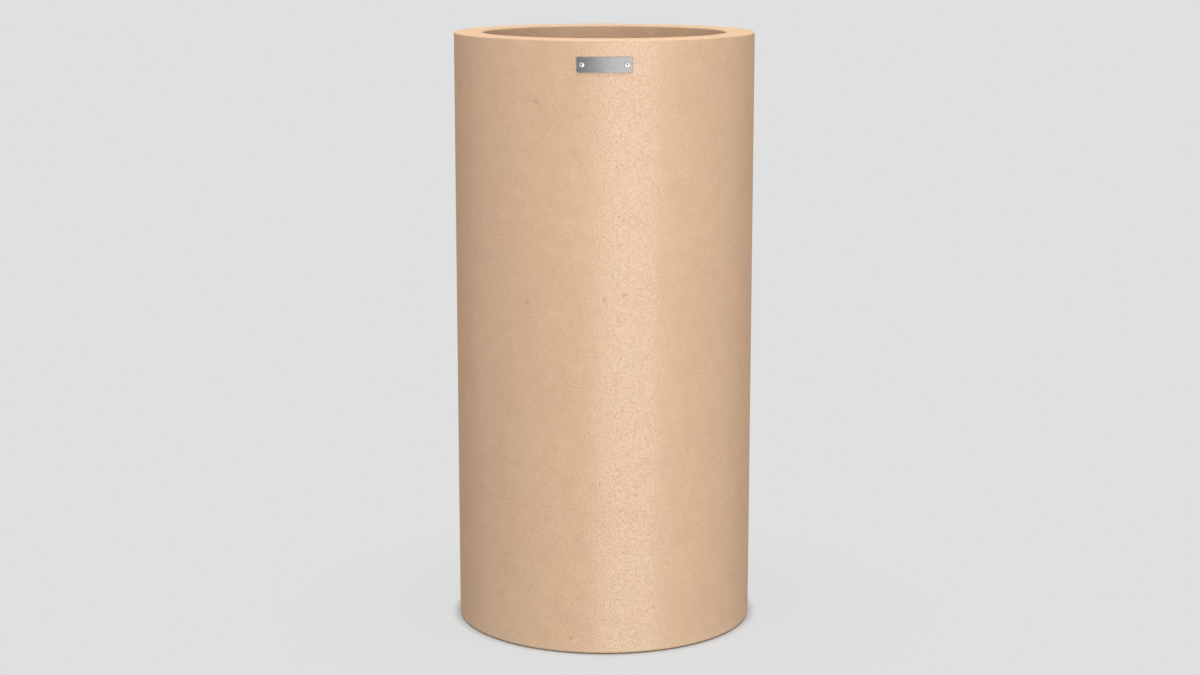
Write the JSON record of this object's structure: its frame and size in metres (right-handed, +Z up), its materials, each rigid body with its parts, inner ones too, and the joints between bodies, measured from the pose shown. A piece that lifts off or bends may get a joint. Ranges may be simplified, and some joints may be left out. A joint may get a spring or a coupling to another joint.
{
  "type": "tall fiberglass planter",
  "caption": "Tall round fiberglass floor planter with a broad flat rim, open mouth, small blank steel nameplate, recessed base, rubber feet and a pull-out drain plug.",
  "frame": {"origin": "on the floor under the planter's axis, in the plane of the feet's undersides", "axes": "+Z up along the planter's axis to the mouth; the nameplate faces -Y, and +X is to the right seen from the nameplate's side"},
  "size_m": [0.4, 0.4013, 0.8],
  "materials": {
    "sand_gelcoat": "satin",
    "raw_laminate": "matte",
    "glass_tape": "satin",
    "black_rubber": "matte",
    "brushed_steel": "satin",
    "rivet_aluminium": "satin",
    "mandrel_steel": "satin"
  },
  "bodies": {
    "planter": {"shell": "sand_gelcoat", "base_panel": "raw_laminate", "base_bonding_tape": "glass_tape", "foot_front_left": "black_rubber", "foot_front_right": "black_rubber", "foot_back_left": "black_rubber", "foot_back_right": "black_rubber", "nameplate": "brushed_steel", "rivet_left": "rivet_aluminium", "rivet_right": "rivet_aluminium", "rivet_mandrel_left": "mandrel_steel", "rivet_mandrel_right": "mandrel_steel"},
    "drain_plug": {"drain_plug": "black_rubber"}
  },
  "joints": [
    {"name": "drain_plug_lift", "type": "slide", "parent": "planter", "child": "drain_plug", "axis": [0, 0, 1], "range_m": [0, 0.83]}
  ]
}
